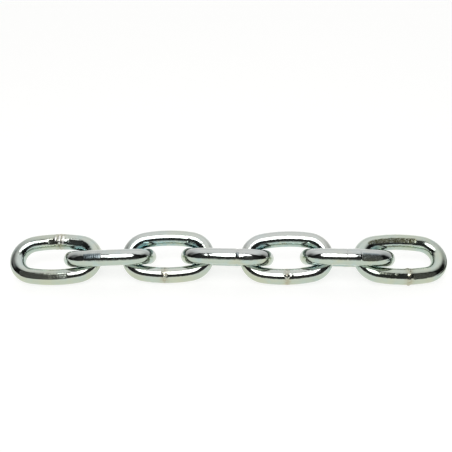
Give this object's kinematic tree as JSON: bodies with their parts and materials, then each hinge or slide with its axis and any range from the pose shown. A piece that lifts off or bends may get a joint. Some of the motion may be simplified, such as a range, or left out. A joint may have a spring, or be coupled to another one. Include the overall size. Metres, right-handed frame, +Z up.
{
  "type": "welded steel chain",
  "caption": "Short run of bright zinc-plated welded chain: stout oval links of round steel wire, interlinked and lying almost straight with alternating tilt.",
  "frame": {"origin": "on the supporting floor, under the middle of the run's bounding box", "axes": "+X along the chain from link_1 to link_7, +Y to the far side, away from the viewer, +Z up"},
  "size_m": [0.221, 0.0322, 0.02],
  "materials": {
    "link_1_zinc": "bright zinc plate, smooth and glossy, faint green-blue cast",
    "link_2_zinc": "bright zinc plate, smooth and glossy, faint green-blue cast",
    "link_3_zinc": "bright zinc plate, smooth and glossy, faint green-blue cast",
    "link_4_zinc": "bright zinc plate, smooth and glossy, faint green-blue cast",
    "link_5_zinc": "bright zinc plate, smooth and glossy, faint green-blue cast",
    "link_6_zinc": "bright zinc plate, smooth and glossy, faint green-blue cast",
    "link_7_zinc": "bright zinc plate, smooth and glossy, faint green-blue cast"
  },
  "bodies": {
    "link_1": {"link_1": "link_1_zinc"},
    "link_2": {"link_2": "link_2_zinc"},
    "link_3": {"link_3": "link_3_zinc"},
    "link_4": {"link_4": "link_4_zinc"},
    "link_5": {"link_5": "link_5_zinc"},
    "link_6": {"link_6": "link_6_zinc"},
    "link_7": {"link_7": "link_7_zinc"}
  },
  "joints": [
    {"name": "swing_3", "type": "hinge", "parent": "link_4", "child": "link_3", "pos_m": [-0.01916, 0.00054, 0.00975], "axis": [0.0253, -0.5787, 0.8151], "range_deg": [-75, 75]},
    {"name": "swing_2", "type": "hinge", "parent": "link_3", "child": "link_2", "pos_m": [-0.04917, -0.00106, 0.00991], "axis": [-0.0527, 0.5339, 0.8439], "range_deg": [-75, 75]},
    {"name": "swing_1", "type": "hinge", "parent": "link_2", "child": "link_1", "pos_m": [-0.07781, -0.00254, 0.00896], "axis": [0.0331, -0.5019, 0.8643], "range_deg": [-75, 75]},
    {"name": "swing_5", "type": "hinge", "parent": "link_4", "child": "link_5", "pos_m": [0.02013, -0.00036, 0.00975], "axis": [0.0075, -0.5852, 0.8109], "range_deg": [-75, 75]},
    {"name": "swing_6", "type": "hinge", "parent": "link_5", "child": "link_6", "pos_m": [0.05012, 0.00091, 0.01047], "axis": [0.0111, 0.5766, 0.817], "range_deg": [-75, 75]},
    {"name": "swing_7", "type": "hinge", "parent": "link_6", "child": "link_7", "pos_m": [0.07892, 0.00126, 0.00931], "axis": [0.0967, -0.4247, 0.9001], "range_deg": [-75, 75]}
  ]
}
